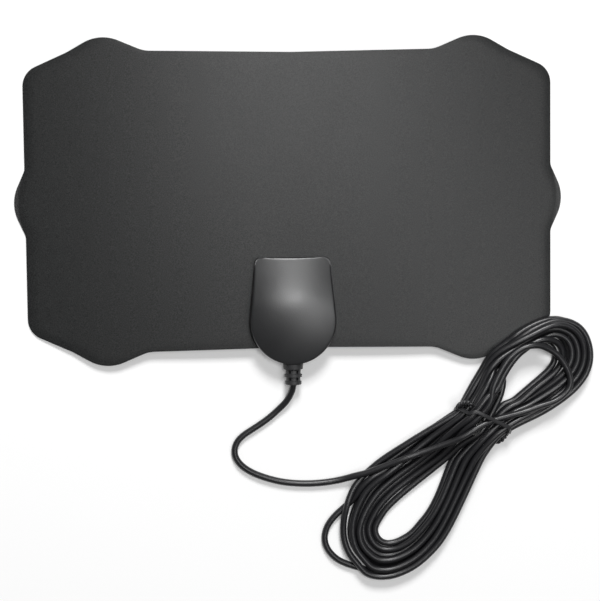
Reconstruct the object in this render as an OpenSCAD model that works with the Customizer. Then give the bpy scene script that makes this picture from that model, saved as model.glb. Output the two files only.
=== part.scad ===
// Flat indoor television antenna: a thin bendable sheet with a wavy edge, a two-part housing
// clamped on its lower edge and a coaxial lead tied into a hank. It lies on a table, front side up.
// The origin is on the table, under the middle of the antenna without its lead; +Y is up the sheet.

/* [Sheet] */
// Width of the sheet between its straight side edges
sheet_w = 317; // [280:1:350]
// Height of the sheet between the lobes' root line above and the one below
sheet_h = 179.4; // [160:0.2:200]
// How far the long edges dip at mid-span
edge_dip = 1.4; // [0:0.1:3]
// How far the corner point of a side lobe stands out past the side edge
side_lobe_out = 8.8; // [4:0.1:14]
// Half the length of a side lobe along the side edge
side_lobe_half = 19.6; // [14:0.1:28]
// How far the corner point of a long-edge lobe stands out past the root line
long_lobe_out = 10.7; // [5:0.1:16]
// Distance from the side edge to the tip of a long-edge lobe
long_lobe_in = 46.3; // [42:0.1:54]
// Distance from the side edge to the inner root of a long-edge lobe
long_root_in = 71.8; // [64:0.1:84]
// Distance from the side edge to the outer root of a long-edge lobe
slant_in = 26.3; // [22:0.1:32]
// Distance of the sheet's outer corner from the root line
corner_drop = 12.2; // [8:0.1:18]
// Rounding of the side lobe's tip
side_tip_r = 24; // [10:1:26]
// Rounding of the side lobe's roots
side_root_r = 6.5; // [2:0.5:12]
// Rounding of the outer corners
corner_r = 12.7; // [5:0.1:16]
// Rounding of the long-edge lobes' tips
long_tip_r = 23.6; // [10:0.1:26]
// Rounding of the long-edge lobes' inner roots
long_root_r = 19.8; // [5:0.1:26]

/* [Laminate] */
// Thickness of the front film and of the back film
film_t = 0.35; // [0.2:0.01:0.6]
// Thickness of the metal foil between the films
foil_t = 0.1; // [0.05:0.01:0.2]
// Thickness of the glue between the films
glue_t = 0.05; // [0.02:0.01:0.1]
// Distance of the foil from the edge of the sheet
foil_in = 9; // [5:0.5:20]
// Width of the foil's conductors
foil_w = 24; // [12:1:34]
// Gap between the left and the right foil
foil_gap = 4; // [2:0.5:8]
// Width of the foil strip beside the gap
feed_w = 12; // [8:0.5:16]
// Height of the sheet's underside over the table at the housing
sheet_rise = 6; // [4:0.1:10]
// How far the lobes at the sides hang below the middle
side_drop = 6; // [0.5:0.1:10]

/* [Housing] */
// Length of the housing along the sheet
box_len = 64.2; // [60:0.1:76]
// Width of the housing at its straight upper edge
box_top_w = 45; // [43:0.1:48]
// Radius of the housing's round lower end
box_end_r = 26; // [25:0.1:28]
// How far the lower end stands out past the sheet's root line
box_out = 8.5; // [7:0.1:14]
// Rounding of the two upper corners
box_corner_r = 3; // [2.5:0.1:6]
// Wall of both covers
wall_t = 1.8; // [1.2:0.1:2]
// Height of the front cover's rim over the sheet
rim_h = 4.6; // [4:0.1:5]
// Extra height of the rim at the lower end, over the cable
rim_lift = 1.2; // [1:0.1:2]
// Height of the crest over the sheet
crest_h = 11.2; // [10.5:0.1:14]
// Distance of the crest from the upper edge
crest_in = 30; // [26:0.5:34]
// Radius of the crown across the housing
crown_r = 105; // [90:1:200]
// Depth of the crown's fall towards the upper edge
fall_up = 5.2; // [3:0.1:5.8]
// Depth of the crown's fall towards the lower end
fall_down = 5; // [3:0.1:5.2]
// Chamfer round the rear cover's back
back_chamfer = 1; // [0.4:0.1:1.4]

/* [Posts] */
// Distance of the posts from the middle line
post_x = 16; // [14:0.1:16.5]
// Distance of the upper posts from the housing's upper edge
post_in = 8.5; // [8:0.1:10]
// Distance between the upper and the lower posts
post_pitch = 25.5; // [22:0.1:27]
// Diameter of a post below its shoulder
post_d = 5; // [4:0.1:5.6]
// Diameter of the pin above the shoulder
pin_d = 2.6; // [2:0.1:3]
// Gap round a post or pin in its hole
post_gap = 0.1; // [0.05:0.05:0.3]
// Wall of the front cover's sockets
socket_wall = 1.4; // [1:0.1:1.8]

/* [Circuit board] */
// Height of the board's underside over the sheet
board_lift = 1.6; // [1.2:0.1:2.2]
// Thickness of the board
board_t = 1.2; // [0.8:0.1:1.6]
// Margin of the board round the posts' middles
board_edge = 3.2; // [2.4:0.1:3.4]
// Distance of the contacts from the upper edge of the housing
contact_in = 18; // [15:0.5:24]
// Diameter of a contact's shank
contact_d = 3; // [2:0.1:3.6]
// Diameter of a contact's head
contact_head_d = 5; // [4.4:0.1:5.6]
// Thickness of a contact's head
contact_head_t = 0.5; // [0.3:0.1:0.8]
// Width of the ferrite core
core_w = 7; // [6.4:0.1:9]
// Length of the ferrite core
core_l = 6; // [4:0.1:9]
// Height of the ferrite core
core_h = 3.6; // [3:0.1:3.8]
// Distance between the core's two bores
core_pitch = 3.2; // [2.6:0.1:3.6]
// Diameter of the core's bores
core_bore_d = 1.8; // [1.2:0.1:2]
// Diameter of the winding wire
wire_d = 0.6; // [0.3:0.1:0.8]

/* [Cable] */
// Diameter of the coaxial cable
cable_d = 4; // [3.6:0.1:4.4]
// Diameter of the cable's braid
braid_d = 3.1; // [2.8:0.1:3.3]
// Diameter of the cable's inner insulation
core_insulation_d = 2.4; // [2:0.1:2.5]
// Diameter of the inner conductor
conductor_d = 0.7; // [0.5:0.1:0.9]
// Height of the cable's middle over the table, in the housing
cable_z = 6.3; // [6.2:0.1:6.6]
// Width of the slot in the sheet for the cable
cable_slot_w = 12; // [8:0.5:14]
// Length of the strain relief outside the housing
relief_len = 12.7; // [12.5:0.1:16]
// Diameter of the strain relief at the housing
relief_d = 12.2; // [11.6:0.1:12.4]
// Diameter of the strain relief's neck in the wall
relief_neck_d = 9.2; // [8.6:0.1:9.4]
// Gap round the neck in the wall
neck_gap = 0.1; // [0.05:0.05:0.2]

/* [Plug] */
// Diameter of the plug's grip
grip_d = 10.8; // [10.4:0.1:12]
// Length of the plug's grip
grip_len = 22; // [20:0.5:24]
// Outside diameter of the plug's metal shell
shell_d = 9.5; // [9:0.1:9.6]
// Wall of the plug's metal shell
shell_wall = 0.45; // [0.3:0.05:0.6]
// Length of the shell outside the grip
shell_len = 12; // [9:0.5:13]
// Depth of the shell in the grip
shell_seat = 5; // [3:0.5:6]
// Diameter of the plug's pin
plug_pin_d = 2.35; // [2:0.05:2.4]
// How far the pin stays behind the shell's rim
pin_back = 0.8; // [0.2:0.1:2]

/* [Hank] */
// Height of the hank
hank_h = 9.4; // [8.4:0.1:10.4]
// Width of the tie's band
tie_w = 2.4; // [1.6:0.1:3.2]
// Thickness of the tie's band
tie_t = 0.8; // [0.5:0.1:1]
// Gap between the tie and what it holds
tie_gap = 0.2; // [0.1:0.05:0.3]

/* [Hidden] */

$fn = 64;
arc_steps = 12;     // points along each rounding of the outline
shield_steps = 12;  // points along each rounding of the housing
big = 400;

function dir(a) = [cos(a), sin(a)];
function unit(v) = v / norm(v);

// One corner of an outline as an arc of radius r. The arc ends at the middle of the shorter side at most.
function corner(a, p, b, r) =
    let (
        u = unit(a - p), v = unit(b - p),
        half = acos(max(-1, min(1, u * v))) / 2,
        reach = min(r / tan(half), 0.499 * min(norm(a - p), norm(b - p))),
        rr = reach * tan(half),
        middle = p + unit(u + v) * rr / sin(half),
        s = p + u * reach - middle,
        a0 = atan2(s[1], s[0]),
        turn = sign(u[0] * v[1] - u[1] * v[0]) * (180 - 2 * half)
    )
    [for (i = [0 : arc_steps]) middle + rr * dir(a0 - turn * i / arc_steps)];

// A closed outline from corner points with a radius each: [x, y, r]
function rounded(c) =
    let (n = len(c), xy = [for (q = c) [q[0], q[1]]])
    [for (i = [0 : n - 1])
        each (c[i][2] > 0 ? corner(xy[(i + n - 1) % n], xy[i], xy[(i + 1) % n], c[i][2]) : [xy[i]])];

// The sheet's outline: one quarter's corners, mirrored to the other three
side_x = sheet_w / 2;
root_y = sheet_h / 2;
lobe_corner = [side_x + side_lobe_out, 0, side_tip_r];
dip_corner = [0, root_y - edge_dip, 0];
quarter = [
    [side_x, side_lobe_half, side_root_r],
    [side_x, root_y - corner_drop, corner_r],
    [side_x - slant_in, root_y - 0.6, 1],
    [side_x - long_lobe_in, root_y + long_lobe_out, long_tip_r],
    [side_x - long_root_in, root_y, long_root_r]
];
function flipped(c, fx, fy) = [c[0] * fx, c[1] * fy, c[2]];
function backwards(l) = [for (i = [len(l) - 1 : -1 : 0]) l[i]];
sheet_corners = concat(
    [lobe_corner], quarter, [dip_corner],
    backwards([for (c = quarter) flipped(c, -1, 1)]), [flipped(lobe_corner, -1, 1)],
    [for (c = quarter) flipped(c, -1, -1)], [flipped(dip_corner, 1, -1)],
    backwards([for (c = quarter) flipped(c, 1, -1)])
);
sheet_outline = rounded(sheet_corners);
reach_x = max([for (p = sheet_outline) p[0]]);
reach_y = max([for (p = sheet_outline) p[1]]);

// Heights over the table
back_z = sheet_rise;
foil_z = back_z + film_t;
sheet_t = 2 * film_t + glue_t;
sheet_z = back_z + sheet_t;  // front face of the sheet
board_z = sheet_z + board_lift;
board_top = board_z + board_t;

// The housing, measured from the middle of the sheet
box_end = -(root_y + box_out);
box_top = box_end + box_len;
box_mid = box_end + box_end_r;
crest_y = box_top - crest_in;
crest_z = sheet_z + crest_h;
corner_x = box_top_w / 2 - box_corner_r;
flat_w = 2 * box_end_r + 2;

// The whole antenna is moved along Y so that its box is centred on the origin.
relief_end = box_end - relief_len;
shift_y = -(reach_y + relief_end) / 2;

// The sheet's sides hang down along an arc that starts at the edge of the flat strip.
bend_span = reach_x - flat_w / 2;
bend_r = (bend_span * bend_span + side_drop * side_drop) / (2 * side_drop);

module placed() {
    translate([0, shift_y, 0]) children();
}

// One layer of the bent sheet between two heights above the sheet's underside
module bent_layer(from, to) {
    translate([0, big / 2, back_z]) rotate([90, 0, 0]) linear_extrude(big) {
        translate([-flat_w / 2, from]) square([flat_w, to - from]);
        for (side = [-1, 1])
            intersection() {
                translate([side * flat_w / 2, -bend_r]) difference() {
                    circle(bend_r + to, $fn = 360);
                    circle(bend_r + from, $fn = 360);
                }
                translate([side > 0 ? flat_w / 2 : -big / 2, -big / 4])
                    square([big / 2 - flat_w / 2, big / 2]);
            }
    }
}

function post_y(row) = box_top - post_in - row * post_pitch;
module at_post_row(row) {
    for (side = [-1, 1]) translate([side * post_x, post_y(row), 0]) children();
}
module at_posts() {
    for (row = [0, 1]) at_post_row(row) children();
}

// Openings that the housing needs in the sheet: post holes and the cable's slot
slot_top = post_y(1);
module sheet_holes(margin) {
    at_posts() cylinder(h = 2 * sheet_z, d = post_d + 2 * (post_gap + margin));
    translate([-cable_slot_w / 2 - margin, -big / 2, 0])
        cube([cable_slot_w + 2 * margin, big / 2 + slot_top + margin, 2 * sheet_z]);
}

contact_x = foil_gap / 2 + feed_w / 2;
module at_contact(side) {
    translate([side * contact_x, box_top - contact_in, 0]) children();
}

// The foil follows the sheet's outline as a broad loop on each side of the gap.
hole_margin = 1.2;
function inset(pts, d) = [for (p = pts) [p[0] * (1 - d / reach_x), p[1] * (1 - d / reach_y)]];
module foil_shape(side) {
    intersection() {
        difference() {
            polygon(inset(sheet_outline, foil_in));
            intersection() {
                polygon(inset(sheet_outline, foil_in + foil_w));
                translate([side > 0 ? foil_gap / 2 + feed_w : -big - foil_gap / 2 - feed_w, -big / 2])
                    square(big);
            }
        }
        translate([side > 0 ? foil_gap / 2 : -big - foil_gap / 2, -big / 2]) square(big);
    }
}

module foil(side) {
    difference() {
        intersection() {
            bent_layer(film_t - foil_t, film_t);
            linear_extrude(2 * sheet_z) foil_shape(side);
        }
        sheet_holes(hole_margin);
    }
}

module front_film() {
    color([0.2, 0.21, 0.21]) placed() difference() {
        intersection() {
            bent_layer(film_t + glue_t, sheet_t);
            linear_extrude(2 * sheet_z) polygon(sheet_outline);
        }
        sheet_holes(0);
        for (side = [-1, 1]) at_contact(side) cylinder(h = 2 * sheet_z, d = contact_d + 1);
    }
}

module back_film() {
    color([0.13, 0.13, 0.14]) placed() difference() {
        intersection() {
            bent_layer(0, film_t);
            linear_extrude(2 * sheet_z) polygon(sheet_outline);
        }
        sheet_holes(0);
        foil(-1);
        foil(1);
    }
}

module radiator_left() {
    color([0.75, 0.76, 0.78]) placed() foil(-1);
}

module radiator_right() {
    color([0.75, 0.76, 0.78]) placed() foil(1);
}

// The housing's outline, moved in by d: two small top corners and one large round end,
// joined by lines that touch both
function shield(d) =
    let (
        r1 = box_end_r - d, r2 = box_corner_r - d,
        c2 = [corner_x, box_top - box_corner_r], v = c2 - [0, box_mid],
        lean = atan2(v[1], v[0]) - acos((r1 - r2) / norm(v)),
        top = [for (i = [0 : shield_steps]) lean + (90 - lean) * i / shield_steps],
        end_steps = 4 * shield_steps
    )
    concat(
        [for (a = top) c2 + r2 * dir(a)],
        [for (a = backwards(top)) [-c2[0], c2[1]] + r2 * dir(180 - a)],
        [for (i = [0 : end_steps]) [0, box_mid] + r1 * dir(180 - lean + (180 + 2 * lean) * i / end_steps)]
    );

// Height of the front cover's crown: it falls away from the crest up, down and to both sides.
// Upwards the fall starts round and goes on straight; crest_soft is the round part's share.
crest_soft = 0.15;
function eased(t) = let (k = max(0, min(1, t))) k * k * (3 - 2 * k);
function crown_z(x, y) =
    let (up = (y - crest_y) / crest_in, down = (crest_y - y) / (crest_y - box_end))
    crest_z - x * x / (2 * crown_r) - (y > crest_y
        ? fall_up * (sqrt(up * up + crest_soft) - sqrt(crest_soft)) / (sqrt(1 + crest_soft) - sqrt(crest_soft))
        : fall_down * down * down);
function rim_z(y) = sheet_z + rim_h + rim_lift * eased((box_mid - y) / box_end_r * 2 - 1);

// A shell surface of rings round the crest, from the foot at height z0 over the rim to the crest
edge_power = 24;    // how close to the rim the crown turns down
edge_round = 0.45;  // roundness of that turn
outer_rings = [1, 0.997, 0.988, 0.973, 0.952, 0.925, 0.88, 0.8, 0.65, 0.45, 0.22];
inner_rings = [1, 0.985, 0.95, 0.85, 0.6, 0.3];
function crown_point(p, s, d) =
    let (q = [p[0] * s, crest_y + (p[1] - crest_y) * s], rim = rim_z(p[1]) - d)
    [q[0], q[1], rim + (crown_z(q[0], q[1]) - d - rim) * pow(1 - pow(s, edge_power), edge_round)];
module crown(d, z0, ring_at) {
    edge = shield(d);
    n = len(edge);
    rings = concat(
        [[for (p = edge) [p[0], p[1], z0]]],
        [for (s = ring_at) [for (p = edge) crown_point(p, s, d)]]
    );
    m = len(rings);
    points = concat([for (r = rings) each r], [[0, crest_y, crest_z - d]]);
    sides = [for (j = [0 : m - 2], i = [0 : n - 1], k = [0, 1])
        let (a = j * n + i, b = j * n + (i + 1) % n)
        k == 0 ? [a, a + n, b + n] : [a, b + n, b]];
    top = [for (i = [0 : n - 1]) [(m - 1) * n + i, m * n, (m - 1) * n + (i + 1) % n]];
    polyhedron(points, concat([[for (i = [0 : n - 1]) i]], sides, top));
}

module neck_hole() {
    translate([0, box_mid - box_end_r / 2, cable_z]) rotate([90, 0, 0])
        cylinder(h = box_end_r, d = relief_neck_d + 2 * neck_gap);
}

socket_depth = 2;
pin_clear = 0.3;    // how far a pin stays short of its socket's end
socket_r = pin_d / 2 + post_gap + socket_wall;
socket_skin = 0.4;  // what is left of the crown above a socket's outer side
module front_cover() {
    color([0.24, 0.25, 0.26]) placed() difference() {
        union() {
            difference() {
                crown(0, sheet_z, outer_rings);
                crown(wall_t, sheet_z - 1, inner_rings);
            }
            for (row = [0, 1]) at_post_row(row) translate([0, 0, board_top])
                cylinder(h = crown_z(post_x + socket_r, post_y(row)) - socket_skin - board_top, r = socket_r);
        }
        at_posts() translate([0, 0, sheet_z])
            cylinder(h = board_top + socket_depth - sheet_z, d = pin_d + 2 * post_gap);
        neck_hole();
    }
}

lip_gap = 0.3;
module rear_cover() {
    color([0.15, 0.15, 0.16]) placed() {
        difference() {
            union() {
                hull() {
                    linear_extrude(back_chamfer) polygon(shield(back_chamfer));
                    translate([0, 0, back_chamfer]) linear_extrude(back_z - back_chamfer)
                        polygon(shield(0));
                }
                intersection() {
                    translate([0, 0, back_z - 1]) linear_extrude(sheet_z - back_z + 1) polygon(shield(0));
                    translate([-big / 2, -big - root_y - lip_gap, 0]) cube(big);
                }
            }
            translate([0, 0, wall_t]) linear_extrude(2 * sheet_z) polygon(shield(wall_t));
            neck_hole();
        }
        at_posts() translate([0, 0, wall_t]) {
            cylinder(h = board_z - wall_t, d = post_d);
            cylinder(h = board_top + socket_depth - wall_t - pin_clear, d = pin_d);
        }
    }
}

// Places of the cable's inner end: the stages of its stripping, along the cable
jacket_in = 9;      // length of the jacket inside the housing
braid_bare = 6;     // length of bare braid
core_bare = 5;      // length of bare insulation
tail_end = box_end + jacket_in;
braid_end = tail_end + braid_bare;
insulation_end = braid_end + core_bare;
joint_y = slot_top - 1.5;
drain_x = (braid_d + conductor_d) / 2 - 0.1;
solder_gap = 0.2;   // room round a wire in its hole of the board
wire_stub = 0.6;    // how far a wire stands out above the board
module circuit_board() {
    color([0.1, 0.35, 0.2]) placed() difference() {
        translate([-post_x - board_edge, slot_top - board_edge, board_z])
            cube([2 * (post_x + board_edge), post_pitch + 2 * board_edge, board_t]);
        at_posts() translate([0, 0, board_z - 1]) cylinder(h = board_t + 2, d = pin_d + 2 * post_gap);
        for (x = [0, drain_x])
            translate([x, joint_y, board_z - 1]) cylinder(h = board_t + 2, d = conductor_d + 2 * solder_gap);
    }
}

module contact() {
    translate([0, 0, foil_z]) cylinder(h = board_z - foil_z, d = contact_d);
    translate([0, 0, board_z - contact_head_t]) cylinder(h = contact_head_t, d = contact_head_d);
}

module contact_left() {
    color([0.8, 0.7, 0.35]) placed() at_contact(-1) contact();
}

module contact_right() {
    color([0.8, 0.7, 0.35]) placed() at_contact(1) contact();
}

bore_z = board_top + core_h / 2;
module at_core() {
    placed() translate([0, box_top - contact_in, 0]) children();
}

module balun_core() {
    color([0.22, 0.22, 0.24]) at_core() difference() {
        translate([-core_w / 2, -core_l / 2, board_top]) cube([core_w, core_l, core_h]);
        for (side = [-1, 1])
            translate([side * core_pitch / 2, core_l, bore_z]) rotate([90, 0, 0])
                cylinder(h = 2 * core_l, d = core_bore_d);
    }
}

wire_bend = 0.9;           // radius of the winding's turns down to the board
leg_y = core_l / 2 + 0.5;  // where the winding turns down, from the core's middle
module balun_winding() {
    color([0.72, 0.42, 0.2]) at_core() {
        for (side = [-1, 1]) translate([side * core_pitch / 2, 0, 0]) {
            translate([0, leg_y, bore_z]) rotate([90, 0, 0]) cylinder(h = 2 * leg_y, d = wire_d);
            translate([0, -leg_y, bore_z - wire_bend]) rotate([0, -90, 0])
                rotate_extrude(angle = -90) translate([wire_bend, 0]) circle(d = wire_d);
            translate([0, -leg_y - wire_bend, board_top])
                cylinder(h = bore_z - wire_bend - board_top, d = wire_d);
        }
        translate([0, leg_y, bore_z])
            rotate_extrude(angle = 180) translate([core_pitch / 2, 0]) circle(d = wire_d);
    }
}

chip = [2, 1.25, 0.9];
chip_places = [[-10, 2], [10, 2], [7, -9], [-7, -9]];
module chip_components() {
    color([0.62, 0.5, 0.38]) at_core()
        for (place = chip_places)
            translate([place[0], place[1], board_top + chip[2] / 2]) cube(chip, center = true);
}

// Runs along the cable, towards the lead: z counts from the housing's lower end
module along_cable() {
    placed() translate([0, box_end, cable_z]) rotate([90, 0, 0]) children();
}

wall_gap = 0.2;           // gap between the strain relief and the housing's wall
collar_end_r = 5.8;       // radius of the collar where it ends
ring_r = 5.3;             // radius of the middle ring
end_r = 4.95;             // radius of the end ring
groove_r = [4.5, 4.25];   // radius of the two grooves
flange_half = [7, 4.1];   // half the flange's width and height inside the wall
flange_back = box_end_r - sqrt(pow(box_end_r - wall_t, 2) - pow(flange_half[0], 2)) + wall_gap;
flange_t = 1.6;
// Where the steps of the strain relief start, from the housing's end outwards
collar_len = 3.2;
grooves_at = [3.9, 8.3];
rings_at = [6.2, 10.4];
ring_slope = 0.3;
// Pockets in the grooves, on both sides of a bridge above and below the cable
pocket_turn = 30;         // angle of a pocket from the bridge
pocket_w = 1.4;
pocket_in = 0.9;          // skin left between a pocket and the cable
pocket_end = 0.3;         // wall between a pocket and the ring
module strain_relief() {
    color([0.12, 0.12, 0.13]) along_cable() difference() {
        union() {
            intersection() {
                translate([0, 0, -flange_back - flange_t]) cylinder(h = flange_t, r = flange_half[0]);
                cube([4 * flange_half[0], 2 * flange_half[1], big], center = true);
            }
            rotate_extrude() polygon([
                [0, -flange_back - 0.5], [relief_neck_d / 2, -flange_back - 0.5],
                [relief_neck_d / 2, wall_gap], [relief_d / 2, wall_gap],
                [collar_end_r, collar_len],
                [groove_r[0], grooves_at[0]], [groove_r[0], rings_at[0]],
                [ring_r, rings_at[0] + ring_slope], [ring_r, grooves_at[1] - ring_slope],
                [groove_r[1], grooves_at[1]], [groove_r[1], rings_at[1]],
                [end_r, rings_at[1] + ring_slope], [end_r, relief_len - 0.4],
                [end_r - 0.4, relief_len], [0, relief_len]
            ]);
        }
        cylinder(h = big, d = cable_d, center = true);
        for (k = [0, 1], side = [-1, 1], half = [0, 180])
            rotate([0, 0, 90 + half + side * pocket_turn])
                translate([cable_d / 2 + pocket_in, -pocket_w / 2, grooves_at[k] + pocket_end])
                    cube([relief_d, pocket_w, rings_at[k] - grooves_at[k] - 2 * pocket_end]);
    }
}

module cable_tail() {
    color([0.1, 0.1, 0.11]) along_cable()
        translate([0, 0, -(tail_end - box_end)]) difference() {
            cylinder(h = tail_end - box_end + relief_len, d = cable_d);
            translate([0, 0, -1]) cylinder(h = 3, d = braid_d);
        }
}

strip = 2;  // how far each layer reaches back into the one around it
module cable_braid() {
    color([0.7, 0.68, 0.64]) {
        along_cable() translate([0, 0, -(braid_end - box_end)]) difference() {
            cylinder(h = braid_end - tail_end + strip, d = braid_d);
            translate([0, 0, -1]) cylinder(h = 3 * big, d = core_insulation_d);
        }
        bent_wire(drain_x, tail_end + 1);
    }
}

module cable_insulation() {
    color([0.92, 0.92, 0.9]) along_cable() translate([0, 0, -(insulation_end - box_end)]) difference() {
        cylinder(h = insulation_end - tail_end + strip, d = core_insulation_d);
        translate([0, 0, -1]) cylinder(h = 3 * big, d = conductor_d);
    }
}

// A wire along the cable that turns up and ends just above the board
lead_bend = 1.2;
module bent_wire(x, start) {
    placed() translate([x, 0, 0]) {
        translate([0, joint_y - lead_bend, cable_z]) rotate([90, 0, 0])
            cylinder(h = joint_y - lead_bend - start, d = conductor_d);
        translate([0, joint_y - lead_bend, cable_z + lead_bend]) rotate([0, -90, 0]) rotate([0, 0, 90])
            rotate_extrude(angle = 90) translate([lead_bend, 0]) circle(d = conductor_d);
        translate([0, joint_y, cable_z + lead_bend])
            cylinder(h = board_top + wire_stub - cable_z - lead_bend, d = conductor_d);
    }
}

module cable_conductor() {
    color([0.78, 0.5, 0.3]) bent_wire(0, tail_end - strip);
}

// The lead, from the strain relief over the table to the hank
lead_gap = 0.05;
lead_start = relief_end + shift_y - lead_gap;
table_z = cable_d / 2;
lead_route = [
    [0, lead_start, cable_z], [-0.4, lead_start - 2.6, cable_z - 0.4], [-1.4, -110, 4.9], [-4.2, -115, 3.6],
    [-8.9, -119.9, 2.5], [-14.2, -124.6, table_z], [-19.8, -128.6, table_z], [-25.3, -132.1, table_z],
    [-30.5, -135.5, table_z], [-34.1, -139.2, table_z], [-35.8, -143.4, table_z],
    [-35.6, -147.7, table_z], [-33.6, -151.7, table_z], [-29.8, -155.5, table_z],
    [-24.4, -158.8, table_z], [-18.1, -161.4, table_z], [-11.4, -163.5, table_z],
    [-4, -165, table_z], [4.2, -165.8, table_z], [12.4, -165.9, table_z], [20.6, -165.3, table_z],
    [28.6, -164, table_z], [37.5, -162, table_z]
];
tube_sides = 8;
function route_dir(l, i) = unit(l[min(i + 1, len(l) - 1)] - l[max(i - 1, 0)]);
function ring(c, t, r) =
    let (side = unit(cross(t, [0, 0, 1])), up = cross(side, t))
    [for (k = [0 : tube_sides - 1])
        c + r * (cos(360 * (k + 0.5) / tube_sides) * side + sin(360 * (k + 0.5) / tube_sides) * up)];
module cable_lead() {
    n = len(lead_route);
    last = n - 1;
    rings = [for (i = [0 : last])
        ring(lead_route[i], i == 0 ? [0, -1, 0] : route_dir(lead_route, i), cable_d / 2)];
    sides = [for (j = [0 : last - 1], k = [0 : tube_sides - 1])
        let (a = j * tube_sides + k, b = j * tube_sides + (k + 1) % tube_sides)
        [a, b, b + tube_sides, a + tube_sides]];
    color([0.09, 0.09, 0.1]) polyhedron(
        [for (r = rings) each r],
        concat(
            sides,
            [[for (k = [tube_sides - 1 : -1 : 0]) k]],
            [[for (k = [0 : tube_sides - 1]) last * tube_sides + k]]
        )
    );
}

// The hank's plan: an outer outline and the two loops it leaves open, seen from above
hank_outer = [
    [106, -118], [112, -107], [117, -94], [123, -86], [132, -81], [142, -76], [154, -71], [164, -68],
    [173, -71], [180, -77], [184, -88], [183, -100], [175, -110], [166, -117], [153, -125], [141, -131],
    [131, -136.5], [123, -141], [117, -151], [111, -164], [104, -179], [96, -195], [88, -207], [77, -217],
    [66, -223], [54, -226], [43, -224], [32, -217], [22, -209], [17.6, -201], [20, -193], [29, -183.5],
    [34, -173], [39, -163], [51, -154], [66, -144.5], [81, -134], [99, -122]
];
lower_loop = [[95, -153], [91, -163], [87, -174], [81, -185], [73, -195], [64, -199.5], [55, -200],
    [51.5, -196], [54, -188], [60, -181], [69, -173], [80, -164], [89, -157]];
upper_loop = [[124, -119], [130, -108], [134.5, -98], [139, -90.5], [146, -86.5], [154, -87.5],
    [157, -92], [153, -99], [146, -105], [137, -112], [129.5, -117]];

// A smooth closed curve through the points
smooth_steps = 3;
function curve_at(a, b, c, d, t) =
    b + (c - a) * t / 2 + (2 * a - 5 * b + 4 * c - d) * t * t / 2 + (3 * b - a - 3 * c + d) * t * t * t / 2;
function smooth(l) =
    let (n = len(l))
    [for (i = [0 : n - 1], k = [0 : smooth_steps - 1])
        curve_at(l[(i + n - 1) % n], l[i], l[(i + 1) % n], l[(i + 2) % n], k / smooth_steps)];

// The tie and the plug lie in grooves of the hank.
tie_mid = [115, -130];
tie_turn = -27;
tie_corner = 4;        // rounding of the tie's corners
tie_tail = [7, 2.2];   // length and diameter of the twisted ends
tie_tail_z = 5;
tie_tail_turn = [0, 70, -40];
plug_mid = [123, -106];
plug_turn = 241;
plug_z = 7;
plug_gap = 0.2;
tie_inner = [33.8, plug_z + shell_d / 2 - tie_t];
pocket_len = grip_len + shell_len;
panel_clear = 1.012;   // the hank stays this much outside the sheet's outline
panel_clear_z = 4.8;   // up to this height

module at_plug() {
    translate([plug_mid[0], plug_mid[1], plug_z]) rotate([0, 0, plug_turn]) rotate([0, 90, 0]) children();
}

module at_tie() {
    translate([tie_mid[0], tie_mid[1], 0]) rotate([0, 0, tie_turn]) children();
}

// The band of the hank that the tie squeezes: all outside the tie's inner width is taken away there.
module tie_groove() {
    at_tie() difference() {
        translate([-big / 2, -tie_w / 2 - tie_gap, -1]) cube([big, tie_w + 2 * tie_gap, 2 * hank_h]);
        translate([0, big / 2, tie_t + 2 * tie_gap]) rotate([90, 0, 0]) linear_extrude(big)
            tie_section([tie_inner[0] - 2 * tie_gap, tie_inner[1] - 2 * tie_gap], tie_corner - tie_gap);
    }
}

module cable_hank() {
    color([0.1, 0.1, 0.11]) difference() {
        linear_extrude(hank_h) difference() {
            polygon(smooth(hank_outer));
            polygon(smooth(lower_loop));
            polygon(smooth(upper_loop));
        }
        placed() scale(panel_clear) translate([0, 0, -1])
            linear_extrude(panel_clear_z + 1) polygon(sheet_outline);
        tie_groove();
        at_plug() {
            cylinder(h = pocket_len, r = grip_d / 2 + plug_gap);
            translate([-2 * grip_d, -grip_d / 2 - plug_gap, 0])
                cube([2 * grip_d, grip_d + 2 * plug_gap, pocket_len]);
        }
    }
}

// The tie: a band round the bundle and its two ends twisted into a short tail
module tie_section(size, r) {
    translate([-size[0] / 2 + r, 0]) square([size[0] - 2 * r, size[1]]);
    translate([-size[0] / 2, r]) square([size[0], size[1] - 2 * r]);
    for (x = [-1, 1], y = [r, size[1] - r]) translate([x * (size[0] / 2 - r), y]) circle(r);
}

module twist_tie() {
    color([0.08, 0.08, 0.09]) at_tie() {
        translate([0, tie_w / 2, tie_gap]) rotate([90, 0, 0]) linear_extrude(tie_w) difference() {
            tie_section([tie_inner[0] + 2 * tie_t, tie_inner[1] + 2 * tie_t], tie_corner + tie_t);
            translate([0, tie_t]) tie_section(tie_inner, tie_corner);
        }
        translate([tie_inner[0] / 2 + tie_t / 2, 0, tie_gap + tie_tail_z]) rotate(tie_tail_turn)
            cylinder(h = tie_tail[0], d = tie_tail[1]);
    }
}

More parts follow.
